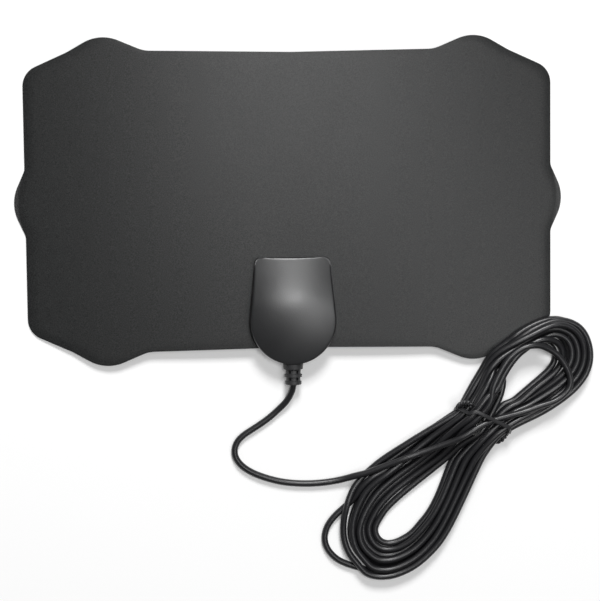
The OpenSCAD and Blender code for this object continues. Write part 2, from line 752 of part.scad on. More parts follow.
// The plug, along its own axis: z = 0 where the cable enters, the shell's rim at the far end
grip_neck_d = 6.4;
neck_len = 4;             // length of the grip's neck
rib_at = [6, 9.4, 12.8];  // start of the thick part and of the two grooves round it
rib_w = 0.8;              // width of a groove
rib_in = 0.4;             // depth of a groove
seat_z = grip_len - shell_seat;
insulator_t = 4;          // length of the insulator outside the grip
pin_root = 3;             // how deep the pin sits in the grip
module plug_grip() {
    color([0.1, 0.1, 0.11]) at_plug() difference() {
        rotate_extrude() polygon([
            [0, 0], [grip_neck_d / 2 - rib_in, 0], [grip_neck_d / 2, rib_in],
            [grip_neck_d / 2 + rib_in, neck_len], [grip_d / 2 - rib_w, rib_at[0] - rib_w],
            [grip_d / 2, rib_at[0]],
            each [for (z = [rib_at[1], rib_at[2]]) each [
                [grip_d / 2, z - rib_in], [grip_d / 2 - rib_in, z],
                [grip_d / 2 - rib_in, z + rib_w], [grip_d / 2, z + rib_w + rib_in]
            ]],
            [grip_d / 2, grip_len - rib_w], [grip_d / 2 - rib_w, grip_len], [0, grip_len]
        ]);
        translate([0, 0, seat_z]) cylinder(h = grip_len, d = shell_d);
        translate([0, 0, seat_z - pin_root]) cylinder(h = pin_root + 1, d = plug_pin_d);
    }
}

module plug_shell() {
    color([0.78, 0.78, 0.76]) at_plug() difference() {
        translate([0, 0, seat_z]) cylinder(h = shell_seat + shell_len, d = shell_d);
        translate([0, 0, seat_z - 1]) cylinder(h = big, d = shell_d - 2 * shell_wall);
    }
}

module plug_insulator() {
    color([0.92, 0.92, 0.9]) at_plug() difference() {
        translate([0, 0, seat_z]) cylinder(h = shell_seat + insulator_t, d = shell_d - 2 * shell_wall);
        translate([0, 0, seat_z - 1]) cylinder(h = big, d = plug_pin_d);
    }
}

module plug_pin() {
    pin_len = grip_len + shell_len - pin_back - seat_z + pin_root;
    color([0.78, 0.78, 0.76]) at_plug() translate([0, 0, seat_z - pin_root]) {
        cylinder(h = pin_len - plug_pin_d / 2, d = plug_pin_d);
        translate([0, 0, pin_len - plug_pin_d / 2]) sphere(d = plug_pin_d);
    }
}

front_film();
back_film();
radiator_left();
radiator_right();
front_cover();
rear_cover();
circuit_board();
contact_left();
contact_right();
balun_core();
balun_winding();
chip_components();
strain_relief();
cable_tail();
cable_braid();
cable_insulation();
cable_conductor();
cable_lead();
cable_hank();
twist_tie();
plug_grip();
plug_shell();
plug_insulator();
plug_pin();
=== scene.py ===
"""A flat indoor television antenna with its coaxial lead tied in a hank, dressed for a still picture.

The sheet, the housing and the plug come from the CAD frame. The script adds the lead with every turn
of its hank, and a finish for each piece. Lengths are in millimetres until they reach Blender.
"""
import logging
import math
from dataclasses import dataclass
from enum import Enum

import bpy
import numpy as np
from mathutils import Matrix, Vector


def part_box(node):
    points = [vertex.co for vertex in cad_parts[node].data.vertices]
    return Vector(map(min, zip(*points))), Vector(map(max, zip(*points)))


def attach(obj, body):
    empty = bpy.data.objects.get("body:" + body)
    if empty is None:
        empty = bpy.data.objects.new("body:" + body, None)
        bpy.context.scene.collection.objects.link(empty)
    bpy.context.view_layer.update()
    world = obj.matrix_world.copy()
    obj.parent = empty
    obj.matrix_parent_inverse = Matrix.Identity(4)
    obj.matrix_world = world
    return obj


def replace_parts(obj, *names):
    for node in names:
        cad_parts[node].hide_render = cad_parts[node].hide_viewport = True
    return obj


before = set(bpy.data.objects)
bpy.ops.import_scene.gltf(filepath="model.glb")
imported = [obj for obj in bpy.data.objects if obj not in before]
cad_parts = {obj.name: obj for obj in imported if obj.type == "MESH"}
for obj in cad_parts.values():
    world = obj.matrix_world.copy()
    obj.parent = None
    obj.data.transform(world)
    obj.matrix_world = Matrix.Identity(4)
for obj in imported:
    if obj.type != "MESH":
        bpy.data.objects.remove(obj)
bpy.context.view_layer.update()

MM = 0.001
BODY = "root"
LOG = logging.getLogger("indoor_antenna")

Point = tuple[float, float, float]
Steps = tuple[float, ...]
Surface = tuple[np.ndarray, list[tuple[int, ...]]]  # points in millimetres, point numbers of the faces


# Shared helpers

def unit(vectors: np.ndarray) -> np.ndarray:
    """Each vector, whose components are on the last axis, divided by its length."""
    return vectors / np.maximum(np.linalg.norm(vectors, axis=-1, keepdims=True), 1e-9)


def arc_length(points: np.ndarray) -> np.ndarray:
    """Distance along a line of points, one a row, from its first point to each."""
    steps = np.linalg.norm(np.diff(points, axis=0), axis=1)
    return np.concatenate([[0.0], np.cumsum(steps)])


def respaced(points: np.ndarray, spacing: float) -> np.ndarray:
    """A line of points put at even distances along the same line.

    Args:
        points: Points along the line, one a row.
        spacing: Distance wanted between neighbours.

    Returns:
        The new points, from the same start to the same end.
    """
    along = arc_length(points)
    count = max(2, int(round(along[-1] / spacing)) + 1)
    wanted = np.linspace(0.0, along[-1], count)
    return np.stack([np.interp(wanted, along, points[:, k]) for k in range(points.shape[1])], axis=1)


def curved(points: np.ndarray, steps: int, closed: bool = False) -> np.ndarray:
    """A Catmull-Rom curve: between two points it is the cubic whose slope at each is half the
    difference of that point's neighbours.

    Args:
        points: The points that the curve passes through.
        steps: Number of pieces between two points.
        closed: Whether the last point joins the first.

    Returns:
        Points along the curve.
    """
    if closed:
        before, after, last = np.roll(points, 1, 0), np.roll(points, -1, 0), np.roll(points, -2, 0)
        start = points
    else:
        padded = np.concatenate([2 * points[:1] - points[1:2], points, 2 * points[-1:] - points[-2:-1]])
        before, start, after, last = padded[:-3], padded[1:-2], padded[2:-1], padded[3:]
    t = (np.arange(steps) / steps)[None, :, None]
    a, b, c, d = (p[:, None, :] for p in (before, start, after, last))
    curve = b + (c - a) * t / 2 + (2 * a - 5 * b + 4 * c - d) * t**2 / 2 + (3 * b - a - 3 * c + d) * t**3 / 2
    curve = curve.reshape(-1, points.shape[1])
    return curve if closed else np.concatenate([curve, points[-1:]])


def closed_grid(rows: int, columns: int, endless: bool = False) -> np.ndarray:
    """Faces of a grid of points whose columns join round: one four-sided face between each two
    neighbours of one row and the two beside them in the next.

    Args:
        rows: Number of rings of points.
        columns: Number of points round each ring.
        endless: Whether the last ring joins the first.

    Returns:
        Point numbers of the faces, four a row.
    """
    row, column = np.meshgrid(np.arange(rows if endless else rows - 1), np.arange(columns), indexing="ij")
    beside, after = (column + 1) % columns, (row + 1) % rows
    corners = [row * columns + column, row * columns + beside, after * columns + beside,
               after * columns + column]
    return np.stack(corners, axis=-1).reshape(-1, 4)


def capped(rings: np.ndarray, first: np.ndarray, last: np.ndarray) -> Surface:
    """A surface of rings, closed at both ends by a fan round one point.

    Args:
        rings: Points by ring and place round it.
        first: The point that closes the first ring.
        last: The point that closes the last ring.

    Returns:
        The points and the faces.
    """
    rows, columns = rings.shape[:2]
    faces = [tuple(face) for face in closed_grid(rows, columns).tolist()]
    place = np.arange(columns)
    beside = (place + 1) % columns
    number, start = rows * columns, (rows - 1) * columns
    faces += list(zip(beside.tolist(), place.tolist(), [number] * columns))
    faces += list(zip((start + place).tolist(), (start + beside).tolist(), [number + 1] * columns))
    return np.concatenate([rings.reshape(-1, 3), first[None, :], last[None, :]]), faces


def new_piece(name: str, surface: Surface, material: bpy.types.Material) -> bpy.types.Object:
    """A smooth mesh piece that rides on the antenna's body.

    Args:
        name: Its name.
        surface: Its points and faces.
        material: Its finish.

    Returns:
        The piece.
    """
    points, faces = surface
    mesh = bpy.data.meshes.new(name)
    mesh.from_pydata((points * MM).tolist(), [], faces)
    mesh.polygons.foreach_set("use_smooth", np.ones(len(mesh.polygons), bool))
    mesh.materials.append(material)
    piece = bpy.data.objects.new(name, mesh)
    bpy.context.scene.collection.objects.link(piece)
    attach(piece, BODY)
    return piece


def dress(node: str, material: bpy.types.Material) -> None:
    """Give a CAD node a finish.

    Args:
        node: Its name.
        material: The finish.
    """
    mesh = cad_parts[node].data
    if not mesh.materials:
        mesh.materials.append(material)
    for place in range(len(mesh.materials)):
        mesh.materials[place] = material


def node_box(node: str) -> tuple[np.ndarray, np.ndarray]:
    """The lowest and the highest corner of a CAD node, in millimetres."""
    low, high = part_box(node)
    return np.array(low) / MM, np.array(high) / MM


def smoothstep(value: np.ndarray) -> np.ndarray:
    """The curve 3t^2 - 2t^3, with t held between 0 and 1."""
    t = np.clip(value, 0.0, 1.0)
    return t * t * (3 - 2 * t)


# Finishes

NOISE_SPAN = (0.3, 0.7)  # the values that most of a noise pattern lies between


class Shader:
    """A new node material with a principled shader, and short ways to add nodes to it."""

    def __init__(self, name: str) -> None:
        """Make the material, empty but for its shader and output.

        Args:
            name: Its name.
        """
        self.material = bpy.data.materials.new(name)
        self.material.use_nodes = True
        self.tree = self.material.node_tree
        self.bsdf = self.tree.nodes["Principled BSDF"]

    def add(self, kind: str, **values: object) -> bpy.types.Node:
        """A new node.

        Args:
            kind: Blender's name of the node's type.
            values: Properties of the node, by name.

        Returns:
            The node.
        """
        node = self.tree.nodes.new(kind)
        for name, value in values.items():
            setattr(node, name, value)
        return node

    def link(self, out: bpy.types.NodeSocket, into: bpy.types.NodeSocket) -> None:
        """Join an output to an input."""
        self.tree.links.new(out, into)

    def put(self, **values: object) -> None:
        """Set inputs of the shader, with underscores for the spaces of their names."""
        for name, value in values.items():
            self.bsdf.inputs[name.replace("_", " ")].default_value = value

    def object_point(self) -> bpy.types.NodeSocket:
        """The object coordinates, in metres."""
        return self.add("ShaderNodeTexCoord").outputs["Object"]

    def noise(self, size: float, detail: float = 2.0, rough: float = 0.5) -> bpy.types.NodeSocket:
        """A noise pattern on object coordinates.

        Args:
            size: Size of its blotches in millimetres.
            detail: Octaves of finer noise.
            rough: Strength of the finer octaves.

        Returns:
            The pattern's value, about 0.3 to 0.7.
        """
        node = self.add("ShaderNodeTexNoise")
        node.inputs["Scale"].default_value = 1.0 / (size * MM)
        node.inputs["Detail"].default_value = detail
        node.inputs["Roughness"].default_value = rough
        self.link(self.object_point(), node.inputs["Vector"])
        return node.outputs["Fac"]

    def ramp(self, value: bpy.types.NodeSocket, low: float, high: float, start: float = 0.0,
             end: float = 1.0) -> bpy.types.NodeSocket:
        """A value stretched and held within bounds.

        Args:
            value: What is stretched.
            low: The value that becomes start.
            high: The value that becomes end.
            start: The lowest result.
            end: The highest result.

        Returns:
            The stretched value.
        """
        node = self.add("ShaderNodeMapRange")
        for name, number in (("From Min", low), ("From Max", high), ("To Min", start), ("To Max", end)):
            node.inputs[name].default_value = number
        self.link(value, node.inputs["Value"])
        return node.outputs["Result"]

    def blend(self, share: bpy.types.NodeSocket, first: Point, second: Point) -> bpy.types.NodeSocket:
        """A colour between two.

        Args:
            share: How much of the second colour, from 0 to 1.
            first: Red, green and blue at 0.
            second: Red, green and blue at 1.

        Returns:
            The mixed colour.
        """
        node = self.add("ShaderNodeMix", data_type="RGBA")
        self.link(share, node.inputs["Factor"])
        node.inputs[6].default_value = (*first, 1.0)
        node.inputs[7].default_value = (*second, 1.0)
        return node.outputs[2]

    def bump(self, height: bpy.types.NodeSocket, depth: float, strength: float = 1.0) -> None:
        """Raise the surface by a pattern.

        Args:
            height: The pattern.
            depth: Height of a full step in millimetres.
            strength: Share of the effect.
        """
        node = self.add("ShaderNodeBump")
        node.inputs["Distance"].default_value = depth * MM
        node.inputs["Strength"].default_value = strength
        self.link(height, node.inputs["Height"])
        self.link(node.outputs["Normal"], self.bsdf.inputs["Normal"])


@dataclass(frozen=True)
class SpeckledPlastic:
    """Black plastic with a fine grain: two tones mixed by noise, uneven gloss and a shallow bump."""

    name: str
    dark: Point
    pale: Point
    roughness: float
    grain: float                  # size of the grain
    depth: float = 0.02           # height of the grain
    gloss: float = 0.5            # specular level
    cloud: float = 0.08           # how much the gloss varies over the face
    cloud_grains: float = 40.0    # size of one cloud, in grains
    tones: tuple[float, float] = (0.35, 0.7)  # the noise at which it is dark and pale

    def material(self) -> bpy.types.Material:
        """Build the finish.

        Returns:
            The material.
        """
        shader = Shader(self.name)
        grain = shader.noise(self.grain, 3.0, 0.6)
        cloud = shader.noise(self.grain * self.cloud_grains, 2.0)
        tone = shader.ramp(grain, *self.tones)
        shader.link(shader.blend(tone, self.dark, self.pale), shader.bsdf.inputs["Base Color"])
        low, high = self.roughness * (1 - self.cloud), self.roughness * (1 + self.cloud)
        shader.link(shader.ramp(cloud, *NOISE_SPAN, low, high), shader.bsdf.inputs["Roughness"])
        shader.put(Specular_IOR_Level=self.gloss)
        shader.bump(grain, self.depth)
        return shader.material


class Metal(Enum):
    """The metals of the inner parts and the plug: colour and roughness."""

    ALUMINIUM = ((0.78, 0.79, 0.8), 0.3)
    TINNED = ((0.62, 0.6, 0.56), 0.4)
    BRASS = ((0.8, 0.65, 0.3), 0.3)
    COPPER = ((0.72, 0.38, 0.2), 0.34)
    NICKEL = ((0.76, 0.76, 0.75), 0.2)


@dataclass(frozen=True)
class BareMetal:
    """A metal with drawn or rolled streaks: noise stretched along one axis sets tone and gloss."""

    name: str
    metal: Metal
    streak: Point = (0.3, 4.0, 0.3)              # size of the streaks along each axis
    worn: float = 0.86                           # brightness of the dull streaks
    dulling: tuple[float, float] = (1.25, 0.85)  # roughness of the dull and the bright streaks
    depth: float = 0.01                          # height of the streaks

    def material(self) -> bpy.types.Material:
        """Build the finish.

        Returns:
            The material.
        """
        colour, roughness = self.metal.value
        shader = Shader(self.name)
        stretch = shader.add("ShaderNodeMapping")
        stretch.inputs["Scale"].default_value = [1.0 / (size * MM) for size in self.streak]
        shader.link(shader.object_point(), stretch.inputs["Vector"])
        noise = shader.add("ShaderNodeTexNoise")
        noise.inputs["Scale"].default_value = 1.0
        noise.inputs["Detail"].default_value = 3.0
        shader.link(stretch.outputs["Vector"], noise.inputs["Vector"])
        tone = shader.ramp(noise.outputs["Fac"], *NOISE_SPAN)
        worn = tuple(self.worn * part for part in colour)
        shader.link(shader.blend(tone, worn, colour), shader.bsdf.inputs["Base Color"])
        rough = shader.ramp(tone, 0.0, 1.0, *(roughness * share for share in self.dulling))
        shader.link(rough, shader.bsdf.inputs["Roughness"])
        shader.put(Metallic=1.0)
        shader.bump(noise.outputs["Fac"], self.depth)
        return shader.material


@dataclass(frozen=True)
class SolderMask:
    """Green lacquer over copper: tracks and gaps show as two greens, cut from blocky cells."""

    name: str
    ground: Point = (0.02, 0.16, 0.07)
    track: Point = (0.05, 0.3, 0.13)
    cell: float = 3.0                           # size of the cells
    border: tuple[float, float] = (0.42, 0.46)  # where in a cell the track ends
    gloss_size: float = 1.5                     # size of the gloss's blotches
    roughness: tuple[float, float] = (0.28, 0.36)
    step: float = 0.03                          # height of a track

    def material(self) -> bpy.types.Material:
        """Build the finish.

        Returns:
            The material.
        """
        shader = Shader(self.name)
        cells = shader.add("ShaderNodeTexVoronoi", distance="CHEBYCHEV", feature="F1")
        cells.inputs["Scale"].default_value = 1.0 / (self.cell * MM)
        shader.link(shader.object_point(), cells.inputs["Vector"])
        share = shader.ramp(cells.outputs["Distance"], *self.border)
        shader.link(shader.blend(share, self.track, self.ground), shader.bsdf.inputs["Base Color"])
        rough = shader.ramp(shader.noise(self.gloss_size), *NOISE_SPAN, *self.roughness)
        shader.link(rough, shader.bsdf.inputs["Roughness"])
        shader.bump(share, self.step, 0.6)
        return shader.material


# The sheet

@dataclass
class LaminatedSheet:
    """The two films, as smooth skins of the outline and bend that the CAD films have.

    The outline's corner points come from one quarter, mirrored, and each is rounded by an arc.
    """

    width: float = 317.0
    height: float = 179.4
    edge_dip: float = 1.4
    side_lobe: Point = (8.8, 19.6, 24.0)           # stands out, half length, tip radius
    side_root_radius: float = 6.5
    corner: tuple[float, float] = (12.2, 12.7)     # below the root line, radius
    slant_in: float = 26.3
    slant_end: tuple[float, float] = (0.6, 1.0)    # below the root line, radius
    long_lobe: Point = (10.7, 46.3, 23.6)          # stands out, place, tip radius
    long_root: tuple[float, float] = (71.8, 19.8)  # place, radius
    flat_half: float = 27.0
    film: float = 0.35
    glue: float = 0.05
    sag: float = 6.0              # how far the tips of the side lobes hang down
    edge_roll: float = 0.5        # how far the rim is bent down at the ends
    roll_width: float = 7.0
    least_roll: float = 0.25      # the rim's bend in the middle, as a share of that at the ends
    roll_grows: tuple[float, float] = (0.55, 0.3)  # where it starts to grow, over which share of the width
    clearance: float = 0.02       # the rim stays this far off the table
    edge_bead: float = 0.08       # how far the edge's round goes down
    # Distances of the rings at the rim from the edge
    rim_rings: Steps = (0.0, 0.12, 0.3, 0.6, 1.0, 1.6, 2.4, 3.4, 4.6, 6.0, 8.0, 12.0)
    inner_rings: int = 22
    arc_points: int = 25
    around: int = 720
    tip_loss: float = 2.3         # how far the rounding takes the side lobe's tip back

    def __post_init__(self) -> None:
        """Take the sheet's place along Y from its CAD node."""
        low, high = node_box("front_film")
        self.shift = float(low[1] + high[1]) / 2

    def corners(self) -> list[Point]:
        """The outline's corner points.

        Returns:
            Each corner's x, y and radius, counterclockwise.
        """
        side, root = self.width / 2, self.height / 2
        out, half, tip = self.side_lobe
        quarter = [
            (side, half, self.side_root_radius),
            (side, root - self.corner[0], self.corner[1]),
            (side - self.slant_in, root - self.slant_end[0], self.slant_end[1]),
            (side - self.long_lobe[1], root + self.long_lobe[0], self.long_lobe[2]),
            (side - self.long_root[0], root, self.long_root[1]),
        ]
        left = [(-x, y, r) for x, y, r in reversed(quarter)]
        under_left = [(-x, -y, r) for x, y, r in quarter]
        under_right = [(x, -y, r) for x, y, r in reversed(quarter)]
        dip = root - self.edge_dip
        return ([(side + out, 0.0, tip)] + quarter + [(0.0, dip, 0.0)] + left + [(-side - out, 0.0, tip)]
                + under_left + [(0.0, -dip, 0.0)] + under_right)

    def outline(self) -> np.ndarray:
        """The rounded outline. At a corner with radius r and half angle h the arc touches both sides
        at r / tan(h) from the corner, or at half the shorter side if that is nearer.

        Returns:
            Points x, y at even distances, counterclockwise.
        """
        corners = np.array(self.corners())
        spots, radii = corners[:, :2], corners[:, 2]
        before, after = np.roll(spots, 1, 0), np.roll(spots, -1, 0)
        u, v = unit(before - spots), unit(after - spots)
        half = np.arccos(np.clip((u * v).sum(1), -1, 1)) / 2
        room = 0.499 * np.minimum(np.linalg.norm(before - spots, axis=1),
                                  np.linalg.norm(after - spots, axis=1))
        reach = np.minimum(radii / np.tan(half), room)
        bend = reach * np.tan(half)
        centre = spots + unit(u + v) * (bend / np.sin(half))[:, None]
        start = spots + u * reach[:, None] - centre
        angle = np.arctan2(start[:, 1], start[:, 0])
        turn = np.sign(u[:, 0] * v[:, 1] - u[:, 1] * v[:, 0]) * (np.pi - 2 * half)
        t = np.linspace(0, 1, self.arc_points)
        a = angle[:, None] - turn[:, None] * t
        arcs = centre[:, None, :] + bend[:, None, None] * np.stack([np.cos(a), np.sin(a)], axis=-1)
        line = np.concatenate([arcs.reshape(-1, 2), arcs[0, :1]])
        return respaced(line, arc_length(line)[-1] / self.around)[:-1]

    def height_at(self, x: np.ndarray) -> np.ndarray:
        """Height of the sheet's underside: flat in the middle strip, and beyond it lower by
        r - sqrt(r^2 - out^2), where out is the distance from the strip.

        Args:
            x: Places across the sheet.

        Returns:
            The heights.
        """
        reach = self.width / 2 + self.side_lobe[0] - self.flat_half - self.tip_loss
        radius = (reach * reach + self.sag * self.sag) / (2 * self.sag)
        out = np.maximum(np.abs(x) - self.flat_half, 0.0)
        return self.sag - (radius - np.sqrt(radius * radius - out * out))

    def skin(self, bottom: float, top: float) -> Surface:
        """One film: rings run from the middle of its top to the rim, round the edge and back to the
        middle of its underside. The rim is bent down by roll * (1 - d / width)^2 at distance d.

        Args:
            bottom: Height of its underside over the sheet's underside.
            top: Height of its top.

        Returns:
            The points and the faces.
        """
        edge = self.outline()
        far = np.linalg.norm(edge, axis=1)
        near_rim = 1 - np.array(self.rim_rings)[:, None] / far[None, :]
        to_middle = near_rim[-1] * np.linspace(1, 0, self.inner_rings)[1:-1, None]
        scale = np.concatenate([near_rim, to_middle])
        plan = edge[None] * scale[..., None]
        depth = (1 - scale) * far
        tip = np.abs(edge[:, 0]) / (self.width / 2)
        start, span = self.roll_grows
        growth = self.least_roll + (1 - self.least_roll) * smoothstep((tip - start) / span)
        roll = self.edge_roll * growth
        fall = roll * np.clip(1 - depth / self.roll_width, 0, 1) ** 2
        base = self.height_at(plan[..., 0])
        fall = np.minimum(fall, np.maximum(base - self.clearance, 0.0))
        over = np.dstack([plan[..., 0], plan[..., 1] + self.shift, base - fall + top])
        under = over.copy()
        under[..., 2] += bottom - top
        side = over[0].copy()
        side[:, 2] -= self.edge_bead
        rings = np.concatenate([over[::-1], side[None], under])
        return capped(rings, rings[0].mean(0), rings[-1].mean(0))

    def build(self) -> None:
        """Make both films and their finishes."""
        cover = self.film + self.glue
        front = SpeckledPlastic("sheet_front", (0.005, 0.0053, 0.0056), (0.03, 0.031, 0.031), 0.34, 0.5,
                                0.04, 0.28, cloud=0.02)
        back = SpeckledPlastic("sheet_back", (0.02, 0.02, 0.021), (0.035, 0.035, 0.036), 0.55, 0.8, 0.03, 0.4)
        over, under = self.skin(cover, cover + self.film), self.skin(0.0, self.film)
        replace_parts(new_piece("front_film_skin", over, front.material()), "front_film")
        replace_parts(new_piece("back_film_skin", under, back.material()), "back_film")


# The housing

@dataclass
class HousingCovers:
    """The domed front cover as a smooth shell, and a finish for the rear cover."""

    top_width: float = 45.0
    end_radius: float = 26.0
    corner_radius: float = 3.0
    wall: float = 1.8
    rim: float = 4.6
    rim_lift: float = 1.2
    crest: float = 11.2
    crest_in: float = 30.0
    crown_radius: float = 105.0
    fall_up: float = 5.2
    fall_down: float = 5.0
    soft: float = 0.15
    ease: float = 3.5             # how softly the two falls meet over the crest
    edge_power: float = 100.0     # how close to the rim the crown turns down
    edge_round: float = 0.45
    rings: int = 44
    ring_power: float = 2.4       # how much closer the rings lie at the rim
    foot_rings: int = 5
    foot_gap: float = 0.01        # the wall starts this far over the sheet
    around: int = 240

    def __post_init__(self) -> None:
        """Take the cover's place from its CAD node."""
        low, high = node_box("front_cover")
        self.end = low[1]
        self.top = high[1]
        self.foot = low[2]
        self.middle_y = self.end + self.end_radius
        self.crest_y = self.top - self.crest_in

    def outline(self, inset: float) -> np.ndarray:
        """Two small arcs above and a large one below, joined by the lines that touch them.

        Args:
            inset: How far the outline is moved in.

        Returns:
            Points x, y, at even distances.
        """
        large, small = self.end_radius - inset, self.corner_radius - inset
        corner = np.array([self.top_width / 2 - self.corner_radius, self.top - self.corner_radius])
        way = corner - np.array([0.0, self.middle_y])
        lean = math.atan2(way[1], way[0]) - math.acos((large - small) / math.hypot(*way))
        a = np.linspace(lean, np.pi / 2, 24)
        right = corner + small * np.column_stack([np.cos(a), np.sin(a)])
        left = right[::-1] * [-1, 1]
        b = np.linspace(np.pi - lean, 2 * np.pi + lean, 120)
        end = np.array([0.0, self.middle_y]) + large * np.column_stack([np.cos(b), np.sin(b)])
        line = np.concatenate([right, left, end, right[:1]])
        return respaced(line, arc_length(line)[-1] / self.around)[:-1]

    def fall(self, y: np.ndarray) -> np.ndarray:
        """How far the crown's middle line lies under its crest: as a round ridge,
        sqrt(up^2 + soft), towards the upper edge and as a square towards the lower end, and the two
        are averaged with a bell curve of the width ease.

        Args:
            y: Places along the housing.

        Returns:
            The depths.
        """
        step = 0.1
        place = np.arange(-60.0, 60.0, step)
        up = np.maximum(place, 0) / self.crest_in
        down = np.maximum(-place, 0) / (self.crest_y - self.end)
        round_up = (np.sqrt(up**2 + self.soft) - math.sqrt(self.soft)) / (
            math.sqrt(1 + self.soft) - math.sqrt(self.soft))
        bell = np.exp(-0.5 * (np.arange(-4 * self.ease, 4 * self.ease, step) / self.ease) ** 2)
        depth = np.convolve(self.fall_up * round_up + self.fall_down * down**2, bell / bell.sum(), "same")
        return np.interp(y - self.crest_y, place, depth)

    def crown(self, inset: float) -> np.ndarray:
        """Rings of the dome from its foot to its crest. A ring is the outline shrunk towards the
        crest by s, at rim + (crown - rim) * (1 - s^100)^0.45. The crown falls to both sides as a square.

        Args:
            inset: Depth under the outer surface.

        Returns:
            Points by ring and place.
        """
        edge = self.outline(inset)
        s = 1 - np.linspace(0, 1, self.rings)[:-1] ** self.ring_power
        x = edge[None, :, 0] * s[:, None]
        y = self.crest_y + (edge[None, :, 1] - self.crest_y) * s[:, None]
        crown = self.foot + self.crest - self.fall(y) - x**2 / (2 * self.crown_radius)
        lift = self.rim_lift * smoothstep((self.middle_y - edge[:, 1]) / self.end_radius * 2 - 1)
        rim = self.foot + self.rim + lift - inset
        z = rim + (crown - inset - rim) * (1 - s[:, None] ** self.edge_power) ** self.edge_round
        dome = np.dstack([x, y, z])
        steps = np.linspace(0, 1, self.foot_rings + 1)[:-1, None]
        plan = np.tile(edge, (self.foot_rings, 1, 1))
        foot = np.dstack([plan, self.foot + self.foot_gap + (rim - self.foot) * steps])
        return np.concatenate([foot, dome])

    def build(self) -> None:
        """Make the front cover's shell and dress both covers."""
        outer, inner = self.crown(0.0), self.crown(self.wall)
        peak = np.array([0.0, self.crest_y, self.foot + self.crest - float(self.fall(self.crest_y))])
        rings = np.concatenate([outer[::-1], inner])
        shell = capped(rings, peak, peak - [0, 0, self.wall])
        front = SpeckledPlastic("housing_front", (0.002, 0.0022, 0.0028), (0.007, 0.0075, 0.009), 0.355, 0.6,
                                0.04, gloss=1.0)
        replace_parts(new_piece("front_cover_shell", shell, front.material()), "front_cover")
        rear = SpeckledPlastic("housing_back", (0.03, 0.03, 0.032), (0.045, 0.045, 0.048), 0.45, 0.6, 0.03)
        dress("rear_cover", rear.material())


# The plug and the tie

